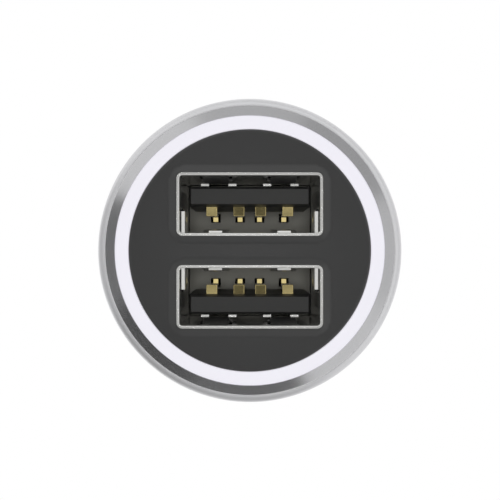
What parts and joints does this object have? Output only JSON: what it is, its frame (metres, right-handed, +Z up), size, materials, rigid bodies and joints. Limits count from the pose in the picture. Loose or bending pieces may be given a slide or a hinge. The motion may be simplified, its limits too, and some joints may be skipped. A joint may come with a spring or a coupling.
{
  "type": "usb car charger",
  "caption": "Plug for a vehicle's 12 V socket with a round metal-rimmed face holding stacked USB-A sockets in a lit ring, sprung tip and side contacts.",
  "frame": {"origin": "on the plug's axis, in the plane of the shoulder that stops against the mouth of the vehicle socket", "axes": "+Y along the plug toward its tip, -Y out of the face with the USB sockets, +Z up with the USB sockets stacked one above the other"},
  "size_m": [0.0268, 0.064, 0.0268],
  "materials": {
    "head_metal": "satin turned",
    "ring_white": "translucent light diffuser",
    "face_grey": "fine matt moulded",
    "board_white": "white solder resist",
    "led_white": "clear lens on a pale base",
    "socket_steel": "bright nickel plate on sheet steel",
    "tongue_black": "matt moulded",
    "contact_gold": "gold plate",
    "board_green": "green solder resist on glass laminate",
    "barrel_black": "fine matt moulded",
    "spring_steel": "bright rolled strip",
    "cap_nickel": "nickel plate on brass",
    "pin_nickel": "nickel plate on brass",
    "seat_brass": "stamped",
    "ferrite_grey": "pressed ferrite",
    "can_aluminium": "smooth drawn can",
    "chip_black": "moulded epoxy",
    "fuse_ceramic": "fired ceramic with tinned caps",
    "chip_tan": "fired ceramic"
  },
  "bodies": {
    "casing": {"head_shell": "head_metal", "light_ring": "ring_white", "face_plate": "face_grey", "led_board": "board_white", "ring_leds": "led_white", "upper_usb_shell": "socket_steel", "lower_usb_shell": "socket_steel", "upper_usb_insulator": "tongue_black", "lower_usb_insulator": "tongue_black", "upper_usb_contacts": "contact_gold", "lower_usb_contacts": "contact_gold", "main_board": "board_green", "barrel": "barrel_black", "ground_spring_left": "spring_steel", "ground_spring_right": "spring_steel", "nose_cap": "cap_nickel", "contact_spring": "spring_steel", "spring_seat": "seat_brass", "power_inductor": "ferrite_grey", "input_capacitor": "can_aluminium", "output_capacitor": "can_aluminium", "converter_chip": "chip_black", "port_chips": "chip_black", "fuse": "fuse_ceramic", "diode": "chip_black", "chip_parts": "chip_tan"},
    "tip": {"centre_contact": "pin_nickel"},
    "left_ground": {"ground_contact_left": "spring_steel"},
    "right_ground": {"ground_contact_right": "spring_steel"}
  },
  "joints": [
    {"name": "tip_press", "type": "slide", "parent": "casing", "child": "tip", "axis": [0, -1, 0], "range_m": [0, 0.003], "stiffness_N_per_m": 570, "springref_m": -0.003, "deforming": ["contact_spring"]},
    {"name": "left_ground_press", "type": "slide", "parent": "casing", "child": "left_ground", "axis": [1, 0, 0], "range_m": [0, 0.0012], "stiffness_N_per_m": 900, "springref_m": -0.001, "deforming": ["ground_spring_left"]},
    {"name": "right_ground_press", "type": "slide", "parent": "casing", "child": "right_ground", "axis": [-1, 0, 0], "range_m": [0, 0.0012], "stiffness_N_per_m": 900, "springref_m": -0.001, "deforming": ["ground_spring_right"]}
  ]
}
